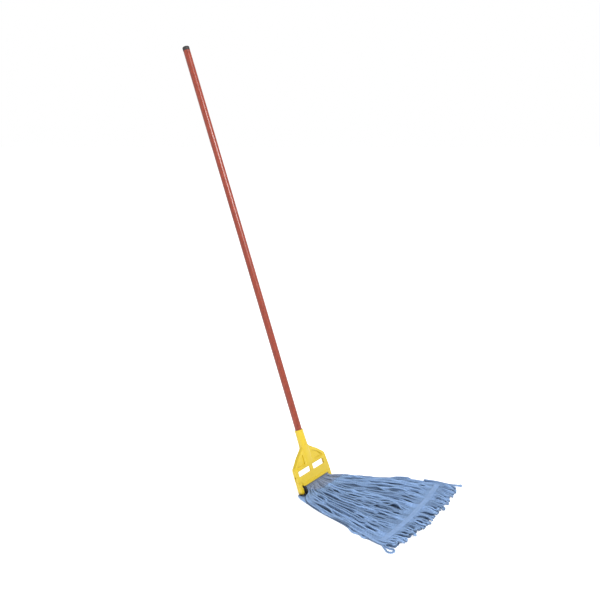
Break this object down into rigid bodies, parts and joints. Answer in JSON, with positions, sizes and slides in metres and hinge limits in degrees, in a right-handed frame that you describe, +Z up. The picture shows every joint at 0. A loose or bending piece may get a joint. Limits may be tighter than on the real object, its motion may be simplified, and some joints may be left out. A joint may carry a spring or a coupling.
{
  "type": "string mop",
  "caption": "Wet string mop: round lacquered wood pole, yellow side-gate yoke and a blue looped-end yarn head with a mesh headband and a tail band.",
  "frame": {"origin": "on the floor under the middle of the crossbar's axis, on the flat underside of the headband's lower flap", "axes": "+X along the crossbar towards its headed end, +Y the way the pole leans, +Z up; the yarn lies out along -Y"},
  "size_m": [0.5369, 1.0572, 1.5822],
  "materials": {
    "lacquered_wood": "gloss",
    "black_rubber": "matte",
    "yellow_plastic": "satin",
    "plated_steel": "satin",
    "dark_plastic": "matte",
    "mesh_fabric": "matte",
    "blue_yarn": "matte",
    "blue_tape": "matte"
  },
  "bodies": {
    "handle": {"handle_pole": "lacquered_wood", "handle_end_cap": "black_rubber", "yoke": "yellow_plastic", "socket_screw": "plated_steel", "crossbar": "plated_steel", "gate_pin": "plated_steel"},
    "side_gate": {"side_gate": "yellow_plastic"},
    "thrust_washer": {"thrust_washer": "plated_steel"},
    "thumb_wheel": {"thumb_wheel": "dark_plastic"},
    "mop_head": {"headband": "mesh_fabric", "yarn_bundle_01": "blue_yarn", "yarn_bundle_02": "blue_yarn", "yarn_bundle_03": "blue_yarn", "yarn_bundle_04": "blue_yarn", "yarn_bundle_05": "blue_yarn", "yarn_bundle_06": "blue_yarn", "yarn_bundle_07": "blue_yarn", "yarn_bundle_08": "blue_yarn", "yarn_bundle_09": "blue_yarn", "yarn_bundle_10": "blue_yarn", "tail_band_front_top": "blue_tape", "tail_band_front_under": "blue_tape", "tail_band_back_top": "blue_tape", "tail_band_back_under": "blue_tape", "loose_loop": "blue_yarn", "stray_yarn": "blue_yarn"}
  },
  "joints": [
    {"name": "gate_swing", "type": "hinge", "parent": "handle", "child": "side_gate", "pos_m": [-0.0795, 0.01613, 0.06201], "axis": [0, 0.9336, -0.3584], "range_deg": [0, 90]},
    {"name": "washer_slide", "type": "slide", "parent": "handle", "child": "thrust_washer", "axis": [-1, 0, 0], "range_m": [0, 0.0036]},
    {"name": "wheel_spin", "type": "hinge", "parent": "thrust_washer", "child": "thumb_wheel", "pos_m": [0, 0, 0.02], "axis": [-1, 0, 0], "range_deg": [0, 720]},
    {"name": "head_swing", "type": "hinge", "parent": "handle", "child": "mop_head", "pos_m": [0, 0, 0.02], "axis": [1, 0, 0], "range_deg": [-15, 100]}
  ],
  "couplings": [
    {"joint": "washer_slide", "follows": "wheel_spin", "m_per_rad": 0.00027852}
  ]
}
